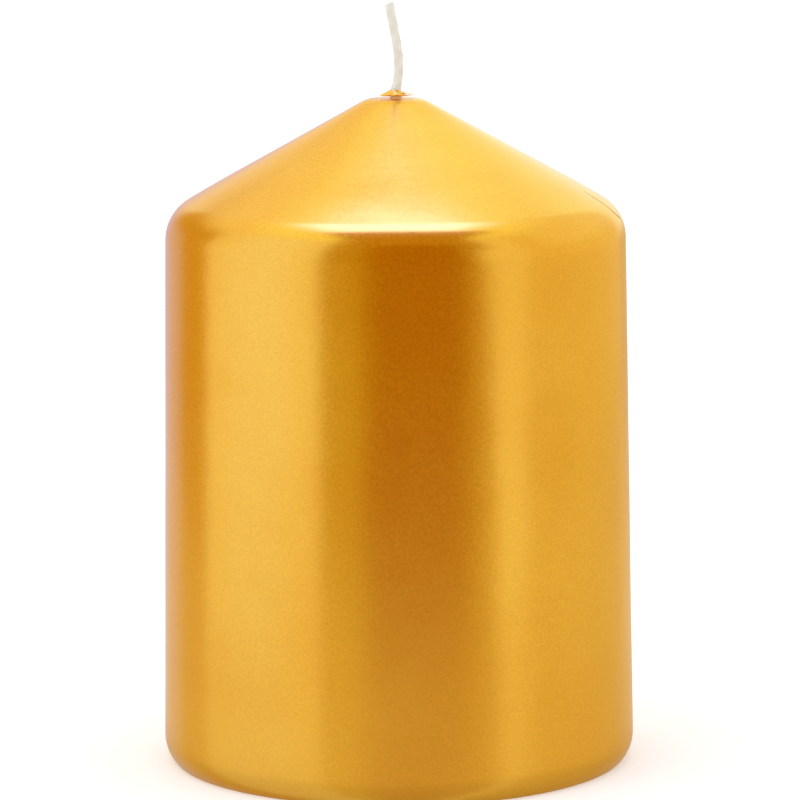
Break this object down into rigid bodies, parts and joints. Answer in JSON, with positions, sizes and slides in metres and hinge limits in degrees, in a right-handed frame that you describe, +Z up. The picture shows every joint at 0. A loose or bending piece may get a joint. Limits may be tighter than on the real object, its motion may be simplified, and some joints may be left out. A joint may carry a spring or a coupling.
{
  "type": "pillar candle",
  "caption": "Pillar candle with a shallow cone top, satin metallic gold lacquer over dyed wax, and a short waxed wick leaning from its tip.",
  "frame": {"origin": "middle of the base, on the surface that the candle stands on", "axes": "+Z up the candle's axis towards the wick; the wick's free end leans towards -X; -Y is the side seen in front"},
  "size_m": [0.0698, 0.0698, 0.1123],
  "materials": {
    "gold_lacquer": "satin metallic gold lacquer with a fine flake grain",
    "dyed_wax": "hard dyed wax, slightly translucent",
    "white_wax": "levelled paraffin, cloudy and slightly translucent",
    "waxed_cotton": "braided cotton soaked in wax",
    "tinned_steel": "stamped tinned steel"
  },
  "bodies": {
    "root": {"lacquer_coat": "gold_lacquer", "lacquer_lip": "gold_lacquer", "overdip_jacket": "dyed_wax", "wax_core": "white_wax", "wick": "waxed_cotton", "wick_sustainer": "tinned_steel"}
  },
  "joints": []
}
